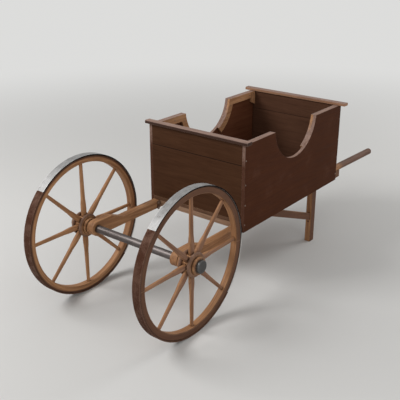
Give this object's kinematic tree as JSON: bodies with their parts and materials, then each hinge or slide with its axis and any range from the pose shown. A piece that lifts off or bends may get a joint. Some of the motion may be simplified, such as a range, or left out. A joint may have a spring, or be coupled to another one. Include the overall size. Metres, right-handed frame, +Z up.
{
  "type": "wooden hand cart",
  "caption": "Wooden hand cart with spoked wheels on a steel axle, an open box with scooped sides, two handles and rear legs.",
  "frame": {"origin": "on the ground, midway between the front of the wheels and the ends of the handles", "axes": "+X across the cart to the left of the person at the handles, +Y to the rear where the handles are, +Z up"},
  "size_m": [1.014, 2.868, 1],
  "materials": {
    "bare_tyre": "bare brushed hoop iron",
    "bare_wood": "bare tan wood",
    "cap_wood": "worn brown capping",
    "dark_boards": "dark brown stained boards",
    "rusty_tyre": "brown rusted hoop iron",
    "steel": "worn grey steel",
    "wheel_wood": "worn tan wood, brown on the sides"
  },
  "bodies": {
    "cart": {"axle": "steel", "axle_cap_left": "steel", "axle_cap_right": "steel", "spacer_left": "bare_wood", "spacer_right": "bare_wood", "rail_left": "bare_wood", "rail_right": "bare_wood", "bearer_front": "bare_wood", "bearer_rear": "bare_wood", "floor": "bare_wood", "side_left": "dark_boards", "side_right": "dark_boards", "front_board_lower": "dark_boards", "front_board_upper": "dark_boards", "rear_board_lower": "dark_boards", "rear_board_upper": "dark_boards", "cap_front": "cap_wood", "cap_rear": "cap_wood", "post_front_left": "bare_wood", "post_front_right": "bare_wood", "post_rear_left": "bare_wood", "post_rear_right": "bare_wood", "batten_front_left": "bare_wood", "batten_front_right": "bare_wood", "batten_rear_left": "bare_wood", "batten_rear_right": "bare_wood", "leg_left": "bare_wood", "leg_right": "bare_wood", "brace_left": "bare_wood", "brace_right": "bare_wood", "handle_left": "bare_wood", "handle_right": "bare_wood", "strap_left": "steel", "strap_right": "steel"},
    "wheel_left": {"nave_left": "wheel_wood", "spokes_left": "wheel_wood", "felloe_upper_left": "wheel_wood", "felloe_lower_left": "wheel_wood", "tyre_bare_left": "bare_tyre", "tyre_rusty_left": "rusty_tyre"},
    "wheel_right": {"nave_right": "wheel_wood", "spokes_right": "wheel_wood", "felloe_upper_right": "wheel_wood", "felloe_lower_right": "wheel_wood", "tyre_bare_right": "bare_tyre", "tyre_rusty_right": "rusty_tyre"}
  },
  "joints": [
    {"name": "wheel_left_turn", "type": "hinge", "parent": "cart", "child": "wheel_left", "pos_m": [0.428, -0.984, 0.45], "axis": [1, 0, 0], "continuous": true},
    {"name": "wheel_right_turn", "type": "hinge", "parent": "cart", "child": "wheel_right", "pos_m": [-0.428, -0.984, 0.45], "axis": [1, 0, 0], "continuous": true}
  ]
}
